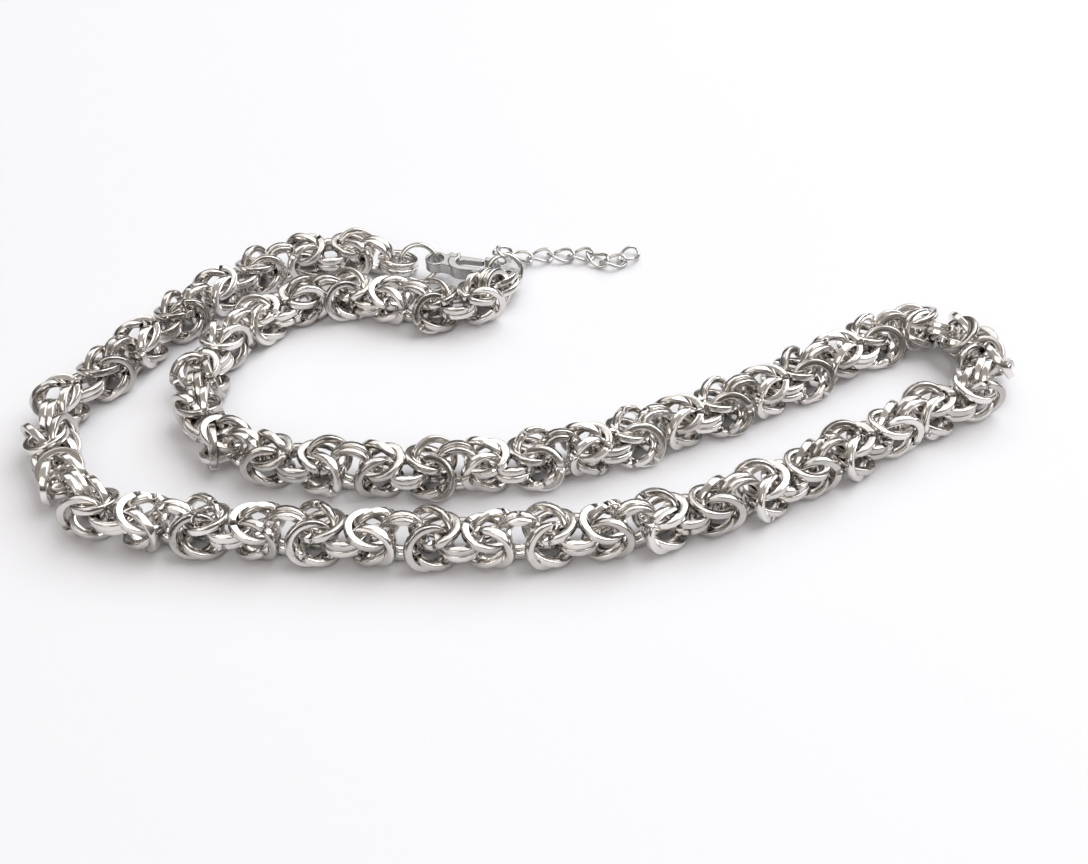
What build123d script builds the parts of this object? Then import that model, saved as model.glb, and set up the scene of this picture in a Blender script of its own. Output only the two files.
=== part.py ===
from build123d import *
import math
import os

# Driving dimensions, mm

WIRE = 1.1
RING_OUTER = 7.1
TUBE = 9.8
FLOOR = 0.0

# Plan of the woven chain's centre line, from the clasp round to the extender
ROUTE = [
    (-24.6, 30.6), (-32.0, 32.9), (-41.0, 30.8), (-49.5, 25.5), (-57.0, 16.5),
    (-63.0, 8.0), (-68.1, -1.0), (-73.8, -9.5), (-69.7, -20.5), (-62.2, -30.0),
    (-50.0, -32.2), (-30.0, -33.8), (-8.0, -35.0), (13.0, -33.3), (32.0, -26.8),
    (49.0, -16.5), (60.5, -9.2), (71.1, -4.0), (73.6, 3.1), (70.7, 10.1),
    (63.5, 12.1), (50.5, 5.2), (40.5, -2.1), (28.0, -8.5), (10.0, -17.1),
    (-8.0, -20.8), (-28.0, -21.2), (-46.0, -17.2), (-52.6, -5.0), (-50.8, 6.5),
    (-43.5, 16.0), (-35.0, 20.5), (-26.0, 20.5), (-17.5, 16.7), (-9.6, 19.0),
    (-3.5, 22.7),
]
# The front strand ends and the back strand begins in the middle of this run
SPLIT_RUN = 20

# End rings of the weave, flat, one on each end of the chain
LEFT_EYE = (-24.4, 30.2, 3.3)
RIGHT_EYE = (-2.25, 26.15, 1.6)
EYE_R = RING_OUTER / 2 - WIRE / 2

# Jump rings, leaning back from upright
LEAN = 28.0
CLASP_RING_C = (-19.65, 30.65, 3.3)
CLASP_RING_R = 3.2
CLASP_RING_WIRE = 0.9
EXT_RING_C = (-4.5, 28.6, 2.96)
EXT_RING_R = 2.9
EXT_RING_WIRE = 0.8
CUT = 0.14

# Lobster clasp, lying flat, its tail hole the local origin, the lever side +y
CLASP_AT = (-16.6, 30.8, 3.3)
CLASP_YAW = -12.0
TAIL_OUTER = 3.8
TAIL_HOLE = 2.7
TAIL_H = 2.0
BODY_A = (4.8, 2.45)
BODY_B = (9.5, 2.15)
MOUTH_A = (5.0, 1.35)
MOUTH_B = (9.25, 1.35)
BODY_H = 2.4
NOSE_H = 1.8
GAP_X = (4.0, 8.4)
PIVOT = (3.1, 1.25)
PIN_D = 0.8
BORE_D = 0.9
SLOT = 1.16
LEVER_H = 1.06
NECK_R = (1.25, 1.9)
# Boxes as x, y of the middle, then length and width
GAP_BOX_Y = (2.2, 2.6)
NOSE_BOX = (10.6, 0, 4.4, 8)
ROOT_SLOT = (3.55, 1.9, 2.8, 3.2)
NUB_SLOT = (2.5, 2.2, 1.2, 2.4)
# The lever's circles as x, y, radius
LEVER_HEEL_R = 0.85
LEVER_KNEE = (4.7, 1.6, 0.55)
LEVER_TIP = (7.85, 1.62, 0.45)
NUB_ROOT_R = 0.8
NUB = (2.1, 2.5, 0.42)

# Extender links
LINK_LEN = 4.75
LINK_WID = 3.05
LINK_WIRE = 0.55
LINK_TWIST = 40.0
LINK_STEPS = 16
LINK_SIDES = 8
LINK_ENDS = [
    (-4.87, 29.4, 5.7), (-5.81, 32.52, 3.79), (-3.81, 34.83, 2.18), (-0.2, 35.25, 1.0),
    (3.5, 36.6, 0.86), (7.3, 36.1, 0.9), (10.8, 36.6, 0.9), (13.1, 34.1, 0.95),
    (16.4, 34.7, 0.86), (18.9, 37.75, 0.9),
]
LINK_ROLL = [84.0, 26.0, -8.0, 1.0, 1.0, 0.0, 1.0, -2.0, -1.0]


# Tubes of the woven chain

def corner_radii(points):
    radii = []
    for before, at, after in zip(points, points[1:], points[2:]):
        ax, ay = at[0] - before[0], at[1] - before[1]
        bx, by = after[0] - at[0], after[1] - at[1]
        shorter = min(math.hypot(ax, ay), math.hypot(bx, by))
        turn = abs(math.atan2(ax * by - ay * bx, ax * bx + ay * by))
        radii.append(0.45 * shorter / math.tan(turn / 2))
    return radii


def tube(points, radii):
    z = FLOOR + TUBE / 2
    path = FilletPolyline(*[(x, y, z) for x, y in points], radius=radii)
    section = Plane(origin=path @ 0, z_dir=path % 0) * Circle(TUBE / 2)
    solid = sweep(section, path=path)
    share = solid.volume / (path.length * math.pi * TUBE * TUBE / 4)
    print("tube length", round(path.length, 1), "volume share", round(share, 4))
    return solid


def flat_ring(centre, radius, wire):
    return Pos(*centre) * Torus(radius, wire / 2)


half = ((ROUTE[SPLIT_RUN][0] + ROUTE[SPLIT_RUN + 1][0]) / 2,
        (ROUTE[SPLIT_RUN][1] + ROUTE[SPLIT_RUN + 1][1]) / 2)
RADII = corner_radii(ROUTE)
print("radii", [round(r, 1) for r in RADII])
front_points = ROUTE[:SPLIT_RUN + 1] + [half]
back_points = [half] + ROUTE[SPLIT_RUN + 1:]
woven_chain_front = tube(front_points, RADII[:SPLIT_RUN])
woven_chain_back = tube(back_points, RADII[SPLIT_RUN:])
woven_chain_front += flat_ring(LEFT_EYE, EYE_R, WIRE)
woven_chain_back += flat_ring(RIGHT_EYE, EYE_R, WIRE)


# Jump rings, each with its cut

def jump_ring(centre, radius, wire, cut_angle):
    ring = Torus(radius, wire / 2)
    gap = Rot(0, 0, cut_angle) * Pos(radius, 0, 0) * Box(wire * 2, CUT, wire * 2)
    upright = Rot(90, 0, 0) * (ring - gap)
    return Pos(*centre) * Rot(-LEAN, 0, 0) * upright


clasp_jump_ring = jump_ring(CLASP_RING_C, CLASP_RING_R, CLASP_RING_WIRE, 215)
extender_jump_ring = jump_ring(EXT_RING_C, EXT_RING_R, EXT_RING_WIRE, 315)


# Lobster clasp

def disc(x, y, radius, height):
    return Pos(x, y, 0) * Cylinder(radius, height)


def hull(circles, height):
    edges = []
    for x, y, r in circles:
        edges += (Pos(x, y) * Circle(r)).edges()
    face = make_face(make_hull(edges))
    return Pos(0, 0, -height / 2) * extrude(face, height)


frame_hull = hull([(BODY_A[0], 0, BODY_A[1]), (BODY_B[0], 0, BODY_B[1])], BODY_H)
neck = hull([(0, 0, NECK_R[0]), (BODY_A[0] - 0.6, 0, NECK_R[1])], TAIL_H)
mouth = hull([(MOUTH_A[0], 0, MOUTH_A[1]), (MOUTH_B[0], 0, MOUTH_B[1])], 2 * BODY_H)
clasp_body = frame_hull + neck + disc(0, 0, TAIL_OUTER / 2, TAIL_H)
clasp_body -= mouth
clasp_body -= disc(0, 0, TAIL_HOLE / 2, 2 * TAIL_H)
# The gap the lever closes
gap_mid = (GAP_X[0] + GAP_X[1]) / 2
clasp_body -= Pos(gap_mid, GAP_BOX_Y[0], 0) * Box(GAP_X[1] - GAP_X[0], GAP_BOX_Y[1], 2 * BODY_H)
# The nose is thinner than the rest
nose_x, nose_y, nose_len, nose_wid = NOSE_BOX
for side in (1, -1):
    off = side * (NOSE_H + BODY_H) / 2
    clasp_body -= Pos(nose_x, nose_y, off) * Box(nose_len, nose_wid, BODY_H)
# Cheeks: a slot for the lever's root, and the pin's bore
for slot_x, slot_y, slot_len, slot_wid in (ROOT_SLOT, NUB_SLOT):
    clasp_body -= Pos(slot_x, slot_y, 0) * Box(slot_len, slot_wid, SLOT)
clasp_body -= disc(PIVOT[0], PIVOT[1], BORE_D / 2, 2 * BODY_H)

lever = hull([(*PIVOT, LEVER_HEEL_R), LEVER_KNEE], LEVER_H)
lever += hull([LEVER_KNEE, LEVER_TIP], LEVER_H)
lever += hull([(*PIVOT, NUB_ROOT_R), NUB], LEVER_H)
clasp_lever = lever - disc(PIVOT[0], PIVOT[1], BORE_D / 2, 2 * BODY_H)

clasp_pin = disc(PIVOT[0], PIVOT[1], PIN_D / 2, BODY_H - 0.1)

clasp_place = Pos(*CLASP_AT) * Rot(0, 0, CLASP_YAW)
clasp_body = clasp_place * clasp_body
clasp_lever = clasp_place * clasp_lever
clasp_pin = clasp_place * clasp_pin


# Extender links: an oval wire ring twisted about its length, as a faceted solid

def sub(a, b):
    return (a[0] - b[0], a[1] - b[1], a[2] - b[2])


def add(a, b, k=1.0):
    return (a[0] + k * b[0], a[1] + k * b[1], a[2] + k * b[2])


def cross(a, b):
    return (a[1] * b[2] - a[2] * b[1], a[2] * b[0] - a[0] * b[2], a[0] * b[1] - a[1] * b[0])


def unit(a):
    size = math.sqrt(a[0] ** 2 + a[1] ** 2 + a[2] ** 2)
    return (a[0] / size, a[1] / size, a[2] / size)


def link_line(start, end, roll):
    along = unit(sub(end, start))
    side = unit(cross((0, 0, 1), along))
    rise = cross(along, side)
    middle = add(start, sub(end, start), 0.5)

    def point(t):
        tilt = math.radians(roll + LINK_TWIST * math.cos(t))
        p = add(middle, along, LINK_LEN / 2 * math.cos(t))
        p = add(p, side, LINK_WID / 2 * math.sin(t) * math.cos(tilt))
        return add(p, rise, LINK_WID / 2 * math.sin(t) * math.sin(tilt))

    def outward(t):
        return unit(sub(point(t), middle))

    return point, outward


def faceted_link(start, end, roll):
    point, outward = link_line(start, end, roll)
    rows = []
    for i in range(LINK_STEPS):
        t = 2 * math.pi * i / LINK_STEPS
        here = point(t)
        ahead = unit(sub(point(t + 0.01), point(t - 0.01)))
        out = outward(t)
        up = unit(cross(ahead, out))
        out = cross(up, ahead)
        row = []
        for j in range(LINK_SIDES):
            a = 2 * math.pi * (j + 0.5) / LINK_SIDES
            p = add(here, out, LINK_WIRE / 2 * math.cos(a))
            row.append(add(p, up, LINK_WIRE / 2 * math.sin(a)))
        rows.append(row)
    faces = []
    for i in range(LINK_STEPS):
        a, b = rows[i], rows[(i + 1) % LINK_STEPS]
        for j in range(LINK_SIDES):
            k = (j + 1) % LINK_SIDES
            for corners in ((a[j], b[j], b[k]), (a[j], b[k], a[k])):
                faces.append(Face(Wire.make_polygon([Vector(*c) for c in corners])))
    solid = Solid(Shell(faces))
    if solid.volume < 0:
        solid = Solid(Shell([-f for f in faces]))
    return solid


links = {}
for number in range(len(LINK_ROLL)):
    name = "extender_link_%02d" % (number + 1)
    links[name] = faceted_link(LINK_ENDS[number], LINK_ENDS[number + 1], LINK_ROLL[number])


# One frame for all: the origin at the middle of the box's underside

nodes = {
    "woven_chain_front": woven_chain_front,
    "woven_chain_back": woven_chain_back,
    "clasp_jump_ring": clasp_jump_ring,
    "extender_jump_ring": extender_jump_ring,
    "clasp_body": clasp_body,
    "clasp_lever": clasp_lever,
    "clasp_pin": clasp_pin,
}
nodes.update(links)
boxes = [shape.bounding_box() for shape in nodes.values()]
low = [min(getattr(b.min, a) for b in boxes) for a in "XYZ"]
high = [max(getattr(b.max, a) for b in boxes) for a in "XYZ"]
shift = (-(low[0] + high[0]) / 2, -(low[1] + high[1]) / 2, -low[2])
print("box", [round(v, 3) for v in low], [round(v, 3) for v in high])
print("shift", [round(v, 4) for v in shift])

os.makedirs("parts", exist_ok=True)
for name, shape in nodes.items():
    moved = Pos(*shift) * shape
    solids = moved.solids()
    out = solids[0] if len(solids) == 1 else Compound(solids)
    out.label = name
    export_step(out, "parts/%s.step" % name)
    print(name, len(solids), round(sum(s.volume for s in solids), 2))
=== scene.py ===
import math

import bmesh
import bpy
import numpy as np
from mathutils import Matrix, Vector


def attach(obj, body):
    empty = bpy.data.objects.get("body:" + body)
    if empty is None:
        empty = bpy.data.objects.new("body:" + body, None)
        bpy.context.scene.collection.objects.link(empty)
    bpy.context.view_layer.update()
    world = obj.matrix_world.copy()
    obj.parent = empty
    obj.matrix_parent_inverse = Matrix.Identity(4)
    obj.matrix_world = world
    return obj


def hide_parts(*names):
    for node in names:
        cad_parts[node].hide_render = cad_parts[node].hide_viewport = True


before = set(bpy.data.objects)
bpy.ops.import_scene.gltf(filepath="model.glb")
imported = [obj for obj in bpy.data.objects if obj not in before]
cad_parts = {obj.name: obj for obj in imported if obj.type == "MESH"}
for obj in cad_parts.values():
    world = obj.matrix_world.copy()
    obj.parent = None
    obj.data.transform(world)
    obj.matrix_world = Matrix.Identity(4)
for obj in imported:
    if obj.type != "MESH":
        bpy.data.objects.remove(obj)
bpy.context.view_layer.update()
MM = 0.001

# Weave, in mm

RING_R = 3.0
RING_WIRE = 1.1
RING_EDGE = 0.17
RING_CUT = 0.05
RING_STEPS = 24
KNOTS = 57
# How far the whole necklace is moved from the route's own frame to the part's
SHIFT = (-0.11, 0.549)
ROUTE = [
    (-24.6, 30.6), (-32.0, 32.9), (-41.0, 30.8), (-49.5, 25.5), (-57.0, 16.5),
    (-63.0, 8.0), (-68.1, -1.0), (-73.8, -9.5), (-69.7, -20.5), (-62.2, -30.0),
    (-50.0, -32.2), (-30.0, -33.8), (-8.0, -35.0), (13.0, -33.3), (32.0, -26.8),
    (49.0, -16.5), (60.5, -9.2), (71.1, -4.0), (73.6, 3.1), (70.7, 10.1),
    (63.5, 12.1), (50.5, 5.2), (40.5, -2.1), (28.0, -8.5), (10.0, -17.1),
    (-8.0, -20.8), (-28.0, -21.2), (-46.0, -17.2), (-52.6, -5.0), (-50.8, 6.5),
    (-43.5, 16.0), (-35.0, 20.5), (-26.0, 20.5), (-17.5, 16.7), (-9.6, 19.0),
    (-3.5, 22.7),
]
# How far along the route a few of the knots lie, by number; the lead is added to every knot
KNOT_MARKS = [
    (0, -0.8), (1, 7.0), (12, 100.2), (28, 230.5), (33, 269.0), (36, 292.2),
    (43, 346.3), (48, 388.0), (51, 412.4), (55, 442.8), (56, 450.0),
]
KNOT_LEAD = 2.1
# The curve's points in each bend, the straight run past its ends, and the reach of a heading
BEND_STEPS = 40
END_RUN = 10
HEADING_REACH = 0.6
# The settled rings lie a little lower than the solid tube, which the camera sees as nearer
AIM_SHIFT = (0.0, 1.2)
FIRST_ROLL = 90.0
# How far the chain is rolled about its own line at a few of the knots, in degrees
ROLL_MARKS = [
    (0, -18.0), (1, 2.0), (7, 2.0), (12, -2.0), (28, -2.0), (32, -88.0),
    (45, -88.0), (50, -92.0), (56, -92.0),
]
# How far the folded pairs start leaning over, in degrees
FOLD_LEAN = 50.0
# Where the first pair starts, from its knot's middle
FIRST_PAIR_BACK = 2.5
FIRST_PAIR_DROP = 1.2
START_HEIGHT = 5.0
# How many of the knots belong to the front piece
FRONT_KNOTS = 33
# Where the chain's last pair lies, round the extender's jump ring
LAST_PAIR = (-3.2, 25.7)
# How far ahead of that pair the extender's jump ring starts
JUMP_AHEAD = 2.5

# Settling: how often near rings are looked for, and how far off they may be
SETTLE_STEPS = 1000
NEAR_EVERY = 20
NEAR_SPARE = 1.2
CONTACT_POINTS = 24
# The share of each push, of each knot's way back to its place and to its roll, that a step takes
PUSH_RATE = 0.6
WALL_RATE = 0.8
AIM_RATE = 0.02
ROLL_HOLD = 0.05
# How far the rings sink in a step, early and late, and the part of the steps that is early
SINK_EARLY = 0.01
SINK_LATE = 0.001
SINK_SHARE = 0.7
# A small shake that dies away over this part of the steps
SHAKE = 0.006
SHAKE_SHARE = 0.55
# The steps in which the extender's jump ring swings home
HOME_STEPS = 300

# Jump rings: centre, radius, wire
CLASP_RING = ((-19.65, 30.65, 3.3), 3.2, 0.9)
EXT_RING = ((-4.5, 28.6, 2.96), 2.9, 0.8)
JUMP_LEAN = 28.0

JUMP_CUT = 0.14
JUMP_STEPS = 72
JUMP_EDGE_STEPS = 4
# The edge's radius as a share of half the wire, which makes the wire round
ROUND_SHARE = 0.999

# Clasp: its tail hole, its turn, and the flat body that the rings keep off
CLASP_AT = (-16.6, 30.8, 3.3)
CLASP_YAW = -12.0
CLASP_CORE = (4.8, 9.5)
CLASP_HALF_WIDTH = 2.3
CLASP_HALF_HEIGHT = 1.2
CLASP_SPARE = 0.1
# Rings further than this from the clasp's middle can't reach it
CLASP_MIDDLE = 6
CLASP_REACH = 12

# Extender links
LINK_LEN = 4.75
LINK_WID = 3.05
LINK_WIRE = 0.55
LINK_TWIST = 40.0
LINK_STEPS = 48
LINK_SIDES = 12
LINK_ENDS = [
    (-4.87, 29.4, 5.7), (-5.81, 32.52, 3.79), (-3.81, 34.83, 2.18), (-0.2, 35.25, 1.0),
    (3.5, 36.6, 0.86), (7.3, 36.1, 0.9), (10.8, 36.6, 0.9), (13.1, 34.1, 0.95),
    (16.4, 34.7, 0.86), (18.9, 37.75, 0.9),
]
LINK_ROLL = [84.0, 26.0, -8.0, 1.0, 1.0, 0.0, 1.0, -2.0, -1.0]


# How the rings of the weave lie: they start woven along the route and settle

def unit(a):
    return a / np.linalg.norm(a, axis=-1, keepdims=True)


def route_places():
    """The knots' places and directions on one smooth curve past the route's points."""
    p = np.array(ROUTE)
    p = np.vstack([p[0], p, p[-1]])
    mids = (p[:-1] + p[1:]) / 2
    t = np.linspace(0, 1, BEND_STEPS, endpoint=False)[:, None]
    bends = []
    for a, b, c in zip(mids[:-1], p[1:-1], mids[1:]):
        bends.append((1 - t) ** 2 * a + 2 * t * (1 - t) * b + t * t * c)
    line = np.vstack(bends + [mids[-1:]])
    keep = np.r_[True, np.linalg.norm(np.diff(line, axis=0), axis=1) > 1e-6]
    line = line[keep]
    first, last = unit(line[0] - line[1]), unit(line[-1] - line[-2])
    line = np.vstack([line[0] + END_RUN * first, line, line[-1] + END_RUN * last])
    run = np.r_[0, np.cumsum(np.linalg.norm(np.diff(line, axis=0), axis=1))] - END_RUN

    def at(s):
        return np.stack([np.interp(s, run, line[:, 0]), np.interp(s, run, line[:, 1])], 1)

    s = np.interp(np.arange(KNOTS), *np.transpose(KNOT_MARKS)) + KNOT_LEAD
    return at(s), unit(at(s + HEADING_REACH) - at(s - HEADING_REACH))


def knot_axes(heading, roll):
    """A knot's own axes: along the chain, and the two across it, rolled about it."""
    along = np.array([heading[0], heading[1], 0.0])
    side = np.array([-heading[1], heading[0], 0.0])
    up = np.array([0, 0, 1.0])
    turn = math.radians(roll)
    across = math.cos(turn) * side + math.sin(turn) * up
    other = -math.sin(turn) * side + math.cos(turn) * up
    return along, across, other


def knot_rolls():
    """Each knot's roll in degrees: a quarter turn from knot to knot, and the marks on top."""
    number = np.arange(KNOTS)
    return FIRST_ROLL + 90 * number + np.interp(number, *np.transpose(ROLL_MARKS))


def woven_start(places, headings):
    """All rings' centres, axes and knots: in each knot a spread pair, a folded pair and a joining pair.

    The chain begins with a plain pair and a joining pair, and ends with a plain pair."""
    centres, axes, knots = [], [], []
    r, w = RING_R, RING_WIRE
    lean = math.radians(FOLD_LEAN)
    spread = [((w - r, 0, g * w), (-g * w, 0, 2 * r)) for g in (1, -1)]
    folded = [((-r * math.sin(lean), g * (w / 2 + r * math.cos(lean)), 0),
               (math.cos(lean), g * math.sin(lean), 0)) for g in (1, -1)]
    joining = [((r - w, 0, g * w / 2), (0, 0, 1)) for g in (1, -1)]
    first = [((-FIRST_PAIR_BACK, g * w / 2 - FIRST_PAIR_DROP, 0), (0, 1, 0)) for g in (1, -1)]
    last = [((w - r, 0, g * w / 2), (0, 0, 1)) for g in (1, -1)]
    rolls = knot_rolls()
    for k in range(KNOTS):
        frame_axes = np.array(knot_axes(headings[k], rolls[k]))
        middle = np.array([places[k, 0], places[k, 1], START_HEIGHT])
        rings = {0: first + joining, KNOTS - 1: last}.get(k, spread + folded + joining)
        for place, axis in rings:
            centres.append(middle + np.array(place) @ frame_axes)
            axes.append(np.array(axis) @ frame_axes)
            knots.append(k)
    return np.array(centres), unit(np.array(axes)), np.array(knots)


def jump_axis():
    """The axis of both jump rings, which lean back from upright."""
    lean = math.radians(JUMP_LEAN)
    return np.array([0, -math.cos(lean), math.sin(lean)])


class Rings:
    """Rings as centres, axes, radii and wire, which push each other apart where they touch."""

    def __init__(self, centres, axes, radii, wires, held):
        self.c, self.n, self.r, self.w, self.held = centres, axes, radii, wires, held
        t = np.arange(CONTACT_POINTS) * 2 * np.pi / CONTACT_POINTS
        self.cos, self.sin = np.cos(t), np.sin(t)

    def find_near(self):
        """Lists the pairs of rings that may come to touch soon."""
        gap = np.linalg.norm(self.c[:, None] - self.c[None], axis=2)
        near = gap < self.r[:, None] + self.r[None] + self.w[:, None] + NEAR_SPARE
        np.fill_diagonal(near, False)
        self.pairs = np.nonzero(near)

    def points(self):
        """Points on each ring's middle line."""
        steep = np.abs(self.n[:, :1]) < 0.9
        spare = np.where(steep, np.array([[1.0, 0, 0]]), np.array([[0, 1.0, 0]]))
        u = unit(np.cross(self.n, spare))
        v = np.cross(self.n, u)
        circle = self.cos[None, :, None] * u[:, None] + self.sin[None, :, None] * v[:, None]
        return self.c[:, None] + self.r[:, None, None] * circle

    def contact(self):
        """The forces and torques with which rings that overlap push each other apart."""
        c, n, r, w = self.c, self.n, self.r, self.w
        i, j = self.pairs
        near = np.linalg.norm(c[i] - c[j], axis=1) < r[i] + r[j] + (w[i] + w[j]) / 2
        i, j = i[near], j[near]
        p = self.points()[i]
        d = p - c[j][:, None]
        h = np.einsum("pmk,pk->pm", d, n[j])
        rho = np.sqrt(np.maximum(np.einsum("pmk,pmk->pm", d, d) - h * h, 1e-12))
        gap = np.sqrt((rho - r[j][:, None]) ** 2 + h * h)
        over = np.clip((w[i] + w[j])[:, None] / 2 - gap, 0, None)
        hit = over.max(1) > 0
        i, j, p, d, h, rho, gap, over = (a[hit] for a in (i, j, p, d, h, rho, gap, over))
        nearest = (d - h[..., None] * n[j][:, None]) * (r[j][:, None] / rho)[..., None]
        share = over / np.maximum(gap, 1e-9) * (over.max(1) / over.sum(1))[:, None]
        push = (d - nearest) * share[..., None]
        whole = push.sum(1)
        turn_i = np.cross(p - c[i][:, None], push).sum(1)
        turn_j = np.cross(nearest, push).sum(1)
        count = len(c)
        force, torque = np.zeros_like(c), np.zeros_like(c)
        for k in range(3):
            force[:, k] = np.bincount(i, whole[:, k], count) - np.bincount(j, whole[:, k], count)
            torque[:, k] = np.bincount(i, turn_i[:, k], count) - np.bincount(j, turn_j[:, k], count)
        touches = np.bincount(i, minlength=count) + np.bincount(j, minlength=count)
        even = np.sqrt(np.maximum(touches, 1))[:, None]
        return force / even, torque / even

    def move(self, force, torque, rate):
        """Moves and turns the free rings by a share of the forces and torques."""
        free = ~self.held[:, None]
        self.c += rate * force * free
        spin = rate * torque * free / (0.75 * self.r[:, None] ** 2)
        self.n = unit(self.n + np.cross(spin, self.n))

    def floor(self):
        """The forces and torques that lift each ring's lowest point to the floor."""
        nz = self.n[:, 2]
        flat = np.sqrt(np.clip(1 - nz ** 2, 1e-12, 1))
        down = np.stack([self.n[:, 0] * nz, self.n[:, 1] * nz, nz ** 2 - 1], 1) / flat[:, None]
        arm = self.r[:, None] * down
        force = np.zeros_like(self.c)
        force[:, 2] = np.clip(self.w / 2 - (self.c + arm)[:, 2], 0, None)
        return force, np.cross(arm, force)

    def clasp(self):
        """Keeps the rings off the clasp's body, a flat stadium."""
        yaw = math.radians(CLASP_YAW)
        ex = np.array([math.cos(yaw), math.sin(yaw), 0])
        ey = np.array([-math.sin(yaw), math.cos(yaw), 0])
        at = np.array(CLASP_AT)
        force, torque = np.zeros_like(self.c), np.zeros_like(self.c)
        near = np.linalg.norm(self.c - (at + CLASP_MIDDLE * ex), axis=1) < CLASP_REACH
        some = np.nonzero(near & ~self.held)[0]
        if not len(some):
            return force, torque
        p = self.points()[some]
        d = p - at
        x, y, z = d @ ex, d @ ey, d[..., 2]
        dx = x - np.clip(x, *CLASP_CORE)
        reach = np.sqrt(dx * dx + y * y)
        keep = self.w[some][:, None] / 2 + CLASP_SPARE
        out = CLASP_HALF_WIDTH + keep - reach
        over = CLASP_HALF_HEIGHT + keep - np.abs(z)
        inside = (out > 0) & (over > 0)
        sideways = inside & (out < over)
        upward = inside & ~sideways
        fx = np.where(sideways, out * dx / np.maximum(reach, 1e-6), 0)
        fy = np.where(sideways, out * y / np.maximum(reach, 1e-6), 0)
        fz = np.where(upward, over * np.sign(z), 0)
        push = fx[..., None] * ex + fy[..., None] * ey + fz[..., None] * np.array([0, 0, 1.0])
        size = np.linalg.norm(push, axis=2)
        share = size.max(1) / np.maximum(size.sum(1), 1e-9)
        push = push * share[:, None, None]
        force[some] = push.sum(1)
        torque[some] = np.cross(p - self.c[some][:, None], push).sum(1)
        return force, torque


def settle_weave():
    """The woven rings, settled on the floor round the two jump rings: centres and axes, in mm."""
    places, headings = route_places()
    centres, axes, knot = woven_start(places, headings)
    count = len(centres)
    along, across, other = knot_axes(headings[-1], knot_rolls()[-1])
    # The extender's jump ring starts threaded straight ahead of the last pair, then swings home
    from_c = np.array([places[-1, 0], places[-1, 1], START_HEIGHT]) + JUMP_AHEAD * along
    to_c, to_n = np.array(EXT_RING[0]), jump_axis()
    from_n = across if across @ to_n > 0 else -across
    centres = np.vstack([centres, CLASP_RING[0], from_c])
    axes = np.vstack([axes, jump_axis(), from_n])
    radii = np.r_[np.full(count, RING_R), CLASP_RING[1], EXT_RING[1]]
    wires = np.r_[np.full(count, RING_WIRE), CLASP_RING[2], EXT_RING[2]]
    rings = Rings(centres, axes, radii, wires, np.arange(count + 2) >= count)
    in_knot = np.bincount(knot, minlength=KNOTS)
    # The folded pairs, one in each whole knot
    fold = np.searchsorted(knot, np.arange(1, KNOTS - 1)) + 2
    rng = np.random.default_rng(5)

    def knot_middles():
        return np.stack([np.bincount(knot, rings.c[:count, x], KNOTS) / in_knot for x in (0, 1)], 1)

    aims = knot_middles() + np.array(AIM_SHIFT)
    aims[-1] = LAST_PAIR
    lines = np.array([knot_axes(h, r) for h, r in zip(headings, knot_rolls())])[1:-1]

    def hold_roll():
        """Turns each knot about the chain's line, a little towards its own roll."""
        spread = rings.c[fold] - rings.c[fold + 1]
        line, aim = lines[:, 0], lines[:, 1]
        spread -= (spread * line).sum(1)[:, None] * line
        miss = np.arctan2((np.cross(spread, aim) * line).sum(1), (spread * aim).sum(1))
        turn = np.zeros((KNOTS, 3))
        turn[1:-1] = ROLL_HOLD * miss[:, None] * line
        turn = turn[knot]
        middle = np.stack([np.bincount(knot, rings.c[:count, x], KNOTS) / in_knot for x in range(3)], 1)
        rings.c[:count] += np.cross(turn, rings.c[:count] - middle[knot])
        rings.n[:count] = unit(rings.n[:count] + np.cross(turn, rings.n[:count]))

    for step in range(SETTLE_STEPS):
        if step % NEAR_EVERY == 0:
            rings.find_near()
        home = min(1.0, step / HOME_STEPS)
        home = home * home * (3 - 2 * home)
        rings.c[count + 1] = from_c * (1 - home) + to_c * home
        rings.n[count + 1] = unit(from_n * (1 - home) + to_n * home)
        rings.move(*rings.contact(), PUSH_RATE)
        rings.c[:count, 2] -= SINK_EARLY if step < SINK_SHARE * SETTLE_STEPS else SINK_LATE
        rings.c[:count, :2] += AIM_RATE * (aims - knot_middles())[knot]
        hold_roll()
        shake = SHAKE * max(0, 1 - step / (SHAKE_SHARE * SETTLE_STEPS))
        rings.c[:count] += rng.normal(size=(count, 3)) * shake
        rings.n[:count] = unit(rings.n[:count] + rng.normal(size=(count, 3)) * shake / RING_R)
        rings.move(*rings.floor(), WALL_RATE)
        rings.move(*rings.clasp(), WALL_RATE)
    return rings.c[:count], rings.n[:count], knot


# Node trees

def new_tree(name, sizes):
    """An empty tree with named inputs for its sizes: (tree, group input, group output)."""
    tree = bpy.data.node_groups.new(name, "GeometryNodeTree")
    tree.interface.new_socket("Geometry", in_out="INPUT", socket_type="NodeSocketGeometry")
    for label, value in sizes:
        kind = "NodeSocketInt" if isinstance(value, int) else "NodeSocketFloat"
        tree.interface.new_socket(label, in_out="INPUT", socket_type=kind).default_value = value
    tree.interface.new_socket("Metal", in_out="INPUT", socket_type="NodeSocketMaterial")
    tree.interface.new_socket("Geometry", in_out="OUTPUT", socket_type="NodeSocketGeometry")
    return tree, tree.nodes.new("NodeGroupInput"), tree.nodes.new("NodeGroupOutput")


def add(tree, kind, links=(), **settings):
    """A node with its settings; links maps its input to a value or another node's output."""
    node = tree.nodes.new(kind)
    for key, value in settings.items():
        setattr(node, key, value)
    for key, value in dict(links).items():
        if isinstance(value, bpy.types.NodeSocket):
            tree.links.new(value, node.inputs[key])
        else:
            node.inputs[key].default_value = value
    return node


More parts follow.
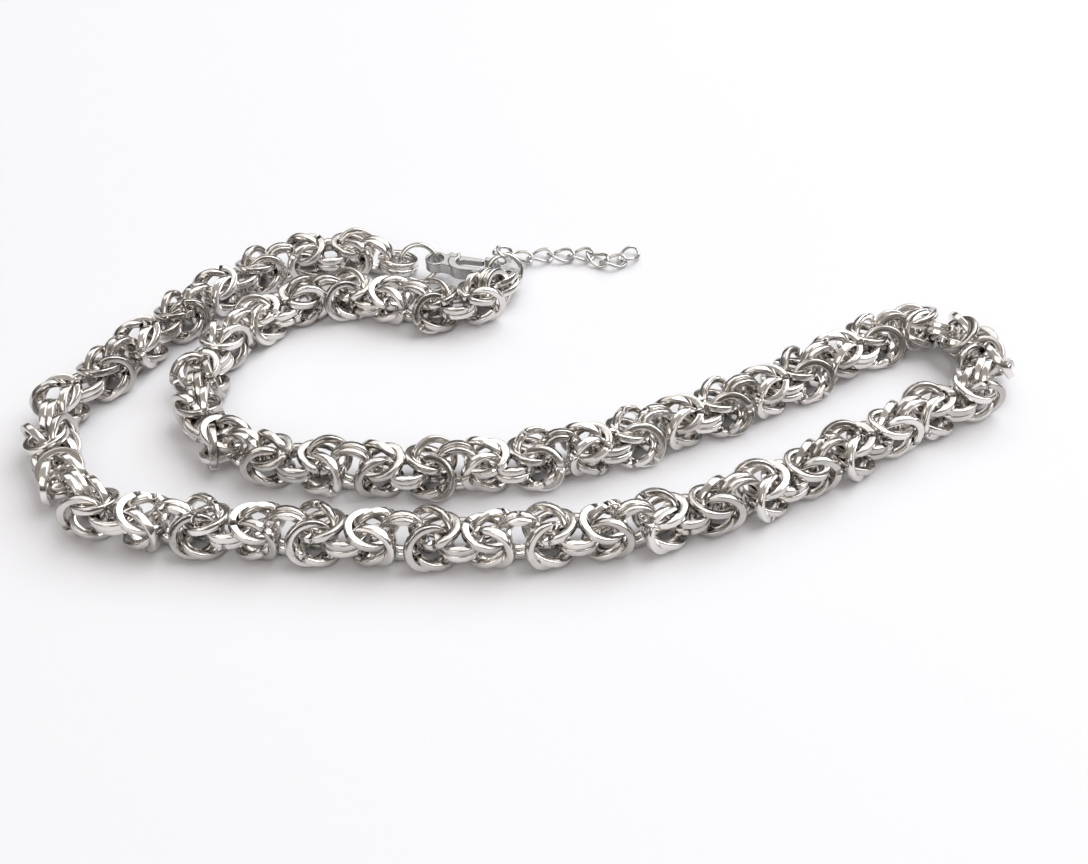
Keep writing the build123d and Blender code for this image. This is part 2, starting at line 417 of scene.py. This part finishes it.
def math_node(tree, operation, a, b=0.0):
    """The output of a maths node on two values or sockets."""
    node = tree.nodes.new("ShaderNodeMath")
    node.operation = operation
    for socket, value in zip(node.inputs, (a, b)):
        if isinstance(value, bpy.types.NodeSocket):
            tree.links.new(value, socket)
        else:
            socket.default_value = value
    return node.outputs[0]


def instance_tail(tree, group_in, group_out, shape):
    """Puts the shape on every point, turned as the point's own attribute says, and makes it real."""
    turn = add(tree, "GeometryNodeInputNamedAttribute", {"Name": "facing"}, data_type="QUATERNION")
    put = add(tree, "GeometryNodeInstanceOnPoints", {
        "Points": group_in.outputs["Geometry"], "Instance": shape,
        "Rotation": turn.outputs["Attribute"]})
    real = add(tree, "GeometryNodeRealizeInstances", {"Geometry": put.outputs["Instances"]})
    smooth = add(tree, "GeometryNodeSetShadeSmooth", {"Geometry": real.outputs["Geometry"]})
    metal = add(tree, "GeometryNodeSetMaterial",
                {"Geometry": smooth.outputs["Geometry"], "Material": group_in.outputs["Metal"]})
    tree.links.new(metal.outputs["Geometry"], group_out.inputs["Geometry"])


def ring_tree():
    """A cut ring of square or round wire, on each point."""
    tree, group_in, group_out = new_tree("cut_ring", [
        ("Radius", RING_R * MM), ("Wire", RING_WIRE * MM), ("Edge", RING_EDGE * MM),
        ("Cut", RING_CUT * MM), ("Steps", RING_STEPS), ("Edge Steps", 1)])
    size = group_in.outputs
    cut_angle = math_node(tree, "DIVIDE", size["Cut"], size["Radius"])
    sweep = math_node(tree, "SUBTRACT", 2 * math.pi, cut_angle)
    arc = add(tree, "GeometryNodeCurveArc",
              {"Resolution": math_node(tree, "ADD", size["Steps"], 1.0), "Radius": size["Radius"],
               "Sweep Angle": sweep}, mode="RADIUS")
    square = add(tree, "GeometryNodeCurvePrimitiveQuadrilateral", {
        "Width": size["Wire"], "Height": size["Wire"]})
    edge = add(tree, "GeometryNodeFilletCurve", {
        "Curve": square.outputs["Curve"], "Count": size["Edge Steps"],
        "Radius": size["Edge"]}, mode="POLY")
    sweep_mesh = add(tree, "GeometryNodeCurveToMesh", {
        "Curve": arc.outputs["Curve"], "Profile Curve": edge.outputs["Curve"],
        "Fill Caps": True})
    instance_tail(tree, group_in, group_out, sweep_mesh.outputs["Mesh"])
    return tree


def link_tree():
    """An oval wire link, twisted about its length, on each point."""
    tree, group_in, group_out = new_tree("twisted_link", [
        ("Length", LINK_LEN * MM), ("Width", LINK_WID * MM), ("Twist", math.radians(LINK_TWIST)),
        ("Wire", LINK_WIRE * MM), ("Steps", LINK_STEPS), ("Sides", LINK_SIDES)])
    size = group_in.outputs
    circle = add(tree, "GeometryNodeCurvePrimitiveCircle", {
        "Resolution": size["Steps"], "Radius": 1.0}, mode="RADIUS")
    place = add(tree, "GeometryNodeInputPosition")
    parts = add(tree, "ShaderNodeSeparateXYZ", {"Vector": place.outputs["Position"]})
    tilt = math_node(tree, "MULTIPLY", parts.outputs["X"], size["Twist"])
    half_length = math_node(tree, "MULTIPLY", size["Length"], 0.5)
    half_width = math_node(tree, "MULTIPLY", size["Width"], 0.5)
    wide = math_node(tree, "MULTIPLY", parts.outputs["Y"], half_width)
    spot = add(tree, "ShaderNodeCombineXYZ", {
        "X": math_node(tree, "MULTIPLY", parts.outputs["X"], half_length),
        "Y": math_node(tree, "MULTIPLY", wide, math_node(tree, "COSINE", tilt)),
        "Z": math_node(tree, "MULTIPLY", wide, math_node(tree, "SINE", tilt))})
    bent = add(tree, "GeometryNodeSetPosition",
               {"Geometry": circle.outputs["Curve"], "Position": spot.outputs["Vector"]})
    half_wire = math_node(tree, "MULTIPLY", size["Wire"], 0.5)
    section = add(tree, "GeometryNodeCurvePrimitiveCircle",
                  {"Resolution": size["Sides"], "Radius": half_wire}, mode="RADIUS")
    sweep_mesh = add(tree, "GeometryNodeCurveToMesh",
                     {"Curve": bent.outputs["Geometry"], "Profile Curve": section.outputs["Curve"]})
    instance_tail(tree, group_in, group_out, sweep_mesh.outputs["Mesh"])
    return tree


def grow(name, places, turns, tree, metal, sizes, tones=None):
    """One plain mesh: the tree's shape at each place, turned by each quaternion."""
    points = bpy.data.meshes.new(name + "_places")
    points.from_pydata([tuple(p) for p in places], [], [])
    facing = points.attributes.new("facing", "QUATERNION", "POINT")
    for item, turn in zip(facing.data, turns):
        item.value = turn
    tone = points.attributes.new("tone", "FLOAT", "POINT")
    for index, item in enumerate(tone.data):
        item.value = 0.5 if tones is None else tones[index]
    seed = bpy.data.objects.new(name + "_seed", points)
    bpy.context.scene.collection.objects.link(seed)
    modifier = seed.modifiers.new("grow", "NODES")
    modifier.node_group = tree
    sockets = {s.name: s.identifier for s in tree.interface.items_tree if s.in_out == "INPUT"}
    for label, value in sizes.items():
        modifier[sockets[label]] = value
    modifier[sockets["Metal"]] = metal
    bpy.context.view_layer.update()
    grown = seed.evaluated_get(bpy.context.evaluated_depsgraph_get())
    mesh = bpy.data.meshes.new_from_object(grown)
    seed.modifiers.remove(modifier)
    bpy.data.objects.remove(seed)
    mesh.name = name
    piece = bpy.data.objects.new(name, mesh)
    bpy.context.scene.collection.objects.link(piece)
    return piece


# Materials

# The cloudy polish's scale, and how much it and each ring's own tone count in the shade
CLOUD_SCALE = 260.0
CLOUD_SHARE = 0.6
TONE_SHARE = 0.4
# Where the shade turns from dull to bright, and the grain from smooth to rough
SHADE_ENDS = (0.3, 0.62)
GRAIN_ENDS = (0.3, 0.7)
BUMP_DEPTH = 0.00002


def metal_material(name, bright, dull, rough, fine, scratch):
    """Polished steel: a cloudy polish, and fine grain in its roughness and bump."""
    mat = bpy.data.materials.new(name)
    mat.use_nodes = True
    tree = mat.node_tree
    shader = tree.nodes["Principled BSDF"]
    shader.inputs["Metallic"].default_value = 1.0
    coords = tree.nodes.new("ShaderNodeTexCoord").outputs["Object"]
    cloud = add(tree, "ShaderNodeTexNoise", {
        "Vector": coords, "Scale": CLOUD_SCALE, "Detail": 4.0, "Roughness": 0.6})
    grain = add(tree, "ShaderNodeTexNoise", {
        "Vector": coords, "Scale": fine, "Detail": 3.0, "Roughness": 0.7})
    tone = add(tree, "ShaderNodeAttribute", attribute_name="tone")
    polish = math_node(tree, "MULTIPLY", cloud.outputs["Fac"], CLOUD_SHARE)
    own = math_node(tree, "MULTIPLY", tone.outputs["Fac"], TONE_SHARE)
    shade = math_node(tree, "ADD", polish, own)
    ramp = tree.nodes.new("ShaderNodeValToRGB")
    for stop, position, colour in zip(ramp.color_ramp.elements, SHADE_ENDS, (dull, bright)):
        stop.position = position
        stop.color = (*colour, 1)
    tree.links.new(shade, ramp.inputs["Fac"])
    tree.links.new(ramp.outputs["Color"], shader.inputs["Base Color"])
    spread = add(tree, "ShaderNodeMapRange", {
        "Value": grain.outputs["Fac"], "From Min": GRAIN_ENDS[0], "From Max": GRAIN_ENDS[1],
        "To Min": rough[0], "To Max": rough[1]})
    tree.links.new(spread.outputs["Result"], shader.inputs["Roughness"])
    bump = add(tree, "ShaderNodeBump", {
        "Height": grain.outputs["Fac"], "Strength": scratch, "Distance": BUMP_DEPTH})
    tree.links.new(bump.outputs["Normal"], shader.inputs["Normal"])
    return mat


chain_metal = metal_material(
    "drawn_square_wire", bright=(0.84, 0.815, 0.79), dull=(0.52, 0.495, 0.47),
    rough=(0.1, 0.22), fine=9000.0, scratch=0.25)
jump_metal = metal_material(
    "round_wire", bright=(0.68, 0.665, 0.65), dull=(0.46, 0.45, 0.435),
    rough=(0.1, 0.2), fine=8000.0, scratch=0.15)
clasp_metal = metal_material(
    "cast_clasp_metal", bright=(0.68, 0.67, 0.655), dull=(0.46, 0.45, 0.44),
    rough=(0.16, 0.3), fine=7000.0, scratch=0.4)


# Woven rings

def facing_of(axis, turn):
    """A quaternion that turns +Z to the axis, after a turn about it."""
    q = Vector(axis).to_track_quat("Z", "Y")
    return q @ Matrix.Rotation(turn, 3, "Z").to_quaternion()


centres, axes, knots = settle_weave()
centres = (centres + np.array([SHIFT[0], SHIFT[1], 0])) * MM
rng = np.random.default_rng(11)
turns = rng.uniform(0, 2 * math.pi, len(centres))
tones = rng.uniform(0, 1, len(centres))
facings = [facing_of(axis, turn) for axis, turn in zip(axes, turns)]
cut_ring = ring_tree()
ring_sizes = {
    "Radius": RING_R * MM, "Wire": RING_WIRE * MM, "Edge": RING_EDGE * MM,
    "Cut": RING_CUT * MM, "Steps": RING_STEPS, "Edge Steps": 1}
split = int(np.searchsorted(knots, FRONT_KNOTS))
for name, node, span in (("woven_rings_front", "woven_chain_front", slice(0, split)),
                         ("woven_rings_back", "woven_chain_back", slice(split, None))):
    rings = grow(name, centres[span], facings[span], cut_ring, chain_metal, ring_sizes, tones[span])
    flat = rings.modifiers.new("flat_faces", "WEIGHTED_NORMAL")
    flat.weight = 90
    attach(rings, "necklace")
    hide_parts(node)

# Jump rings, their cuts where the CAD has them
for name, node, (centre, radius, wire), cut_at in (
        ("clasp_jump", "clasp_jump_ring", CLASP_RING, 215),
        ("extender_jump", "extender_jump_ring", EXT_RING, 315)):
    place = (np.array(centre) + np.array([SHIFT[0], SHIFT[1], 0])) * MM
    upright = Matrix.Rotation(math.radians(90), 3, "X")
    lean = Matrix.Rotation(math.radians(-JUMP_LEAN), 3, "X") @ upright
    turn = (lean @ Matrix.Rotation(math.radians(cut_at), 3, "Z")).to_quaternion()
    piece = grow(name, [place], [turn], cut_ring, jump_metal, {
        "Radius": radius * MM, "Wire": wire * MM, "Edge": wire / 2 * MM * ROUND_SHARE,
        "Cut": JUMP_CUT * MM, "Steps": JUMP_STEPS, "Edge Steps": JUMP_EDGE_STEPS})
    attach(piece, "necklace")
    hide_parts(node)

# Extender
link_places, link_turns = [], []
for start, end, roll in zip(LINK_ENDS, LINK_ENDS[1:], LINK_ROLL):
    start, end = Vector(start), Vector(end)
    along = (end - start).normalized()
    side = Vector((0, 0, 1)).cross(along).normalized()
    rise = along.cross(side)
    basis = Matrix((along, side, rise)).transposed()
    link_turns.append((basis @ Matrix.Rotation(math.radians(roll), 3, "X")).to_quaternion())
    link_places.append(((start + end) / 2 + Vector((SHIFT[0], SHIFT[1], 0))) * MM)
extender = grow("extender_links", link_places, link_turns, link_tree(), jump_metal, {
    "Length": LINK_LEN * MM, "Width": LINK_WID * MM, "Twist": math.radians(LINK_TWIST),
    "Wire": LINK_WIRE * MM, "Steps": LINK_STEPS, "Sides": LINK_SIDES})
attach(extender, "necklace")
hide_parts(*[f"extender_link_{i:02d}" for i in range(1, len(LINK_ENDS))])


# Clasp, with the fineness of its remeshed copies in mm and how often they are smoothed

BODY_VOXEL = 0.08
BODY_ROUNDS = 12
LEVER_VOXEL = 0.06
LEVER_ROUNDS = 4


def cast_copy(name, node, voxel, rounds):
    """A cast look: the CAD solid's merged copy, remeshed finely and its edges softened."""
    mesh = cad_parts[node].data.copy()
    mesh.materials.clear()
    soft = bmesh.new()
    soft.from_mesh(mesh)
    bmesh.ops.remove_doubles(soft, verts=soft.verts, dist=1e-6)
    soft.to_mesh(mesh)
    soft.free()
    form = bpy.data.objects.new(name + "_form", mesh)
    bpy.context.scene.collection.objects.link(form)
    fine = form.modifiers.new("fine", "REMESH")
    fine.mode = "VOXEL"
    fine.voxel_size = voxel
    fine.use_smooth_shade = True
    ease = form.modifiers.new("ease", "SMOOTH")
    ease.factor = 0.5
    ease.iterations = rounds
    bpy.context.view_layer.update()
    done = bpy.data.meshes.new_from_object(form.evaluated_get(bpy.context.evaluated_depsgraph_get()))
    bpy.data.objects.remove(form)
    done.name = name
    done.materials.append(clasp_metal)
    piece = bpy.data.objects.new(name, done)
    bpy.context.scene.collection.objects.link(piece)
    return piece


body = cast_copy("cast_clasp", "clasp_body", BODY_VOXEL * MM, BODY_ROUNDS)
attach(body, "necklace")
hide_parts("clasp_body")
lever = cast_copy("cast_lever", "clasp_lever", LEVER_VOXEL * MM, LEVER_ROUNDS)
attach(lever, "lever")
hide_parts("clasp_lever")
# The pin is the CAD's own
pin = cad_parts["clasp_pin"]
pin.data.materials.clear()
pin.data.materials.append(clasp_metal)

# Floor, light and camera

FLOOR_REACH = 2.0
PAPER_COLOUR = (0.745, 0.745, 0.77, 1)
PAPER_ROUGHNESS = 0.7
# The room's colour low down and high up, and where between them it changes
ROOM_COLOURS = ((0.045, 0.04, 0.035, 1), (0.44, 0.41, 0.38, 1))
ROOM_ENDS = (0.1, 0.75)
# The camera's aim in mm, its elevation in degrees, its distance in mm and its lens
CAMERA_AIM = (2.35, -8.7)
CAMERA_ELEVATION = 44
CAMERA_DISTANCE = 196.61
CAMERA_LENS = 41.9

floor_mesh = bpy.data.meshes.new("floor")
corners = [(x * FLOOR_REACH, y * FLOOR_REACH, 0) for x, y in ((-1, -1), (1, -1), (1, 1), (-1, 1))]
floor_mesh.from_pydata(corners, [], [(0, 1, 2, 3)])
floor = bpy.data.objects.new("floor", floor_mesh)
bpy.context.scene.collection.objects.link(floor)
paper = bpy.data.materials.new("white_paper")
paper.use_nodes = True
paper_shader = paper.node_tree.nodes["Principled BSDF"]
paper_shader.inputs["Base Color"].default_value = PAPER_COLOUR
paper_shader.inputs["Roughness"].default_value = PAPER_ROUGHNESS
floor_mesh.materials.append(paper)

world = bpy.data.worlds.new("studio")
bpy.context.scene.world = world
world.use_nodes = True
sky = world.node_tree
direction = sky.nodes.new("ShaderNodeTexCoord").outputs["Generated"]
rise = add(sky, "ShaderNodeSeparateXYZ", {"Vector": direction}).outputs["Z"]
walls = sky.nodes.new("ShaderNodeValToRGB")
for stop, position, colour in zip(walls.color_ramp.elements, ROOM_ENDS, ROOM_COLOURS):
    stop.position = position
    stop.color = colour
sky.links.new(rise, walls.inputs["Fac"])
sky.links.new(walls.outputs["Color"], sky.nodes["Background"].inputs["Color"])
sky.nodes["Background"].inputs["Strength"].default_value = 1.0


def softbox(name, place, size, power, tint):
    """A rectangular lamp that shines on the middle of the necklace."""
    lamp = bpy.data.lights.new(name, "AREA")
    lamp.shape = "RECTANGLE"
    lamp.size, lamp.size_y = size
    lamp.energy = power
    lamp.color = tint
    box = bpy.data.objects.new(name, lamp)
    box.location = place
    box.rotation_euler = (-Vector(place)).to_track_quat("-Z", "Y").to_euler()
    bpy.context.scene.collection.objects.link(box)


softbox("key_box", (0.95, 0.65, 1.35), (1.9, 1.9), 39.0, (0.97, 0.985, 1.0))
softbox("back_box", (-0.3, 1.0, 0.95), (1.7, 0.8), 5.0, (0.98, 0.99, 1.0))
softbox("front_box", (-0.35, -0.7, 0.7), (0.6, 0.6), 2.4, (1.0, 0.98, 0.95))

target = Vector((CAMERA_AIM[0] + SHIFT[0], CAMERA_AIM[1] + SHIFT[1], 0)) * MM
elevation = math.radians(CAMERA_ELEVATION)
camera = bpy.data.cameras.new("camera")
camera.lens = CAMERA_LENS
camera.clip_start = 0.01
camera_object = bpy.data.objects.new("camera", camera)
away = Vector((0, -math.cos(elevation), math.sin(elevation)))
camera_object.location = target + away * CAMERA_DISTANCE * MM
camera_object.rotation_euler = (-away).to_track_quat("-Z", "Y").to_euler()
bpy.context.scene.collection.objects.link(camera_object)
bpy.context.scene.camera = camera_object
bpy.context.scene.view_settings.view_transform = "Standard"
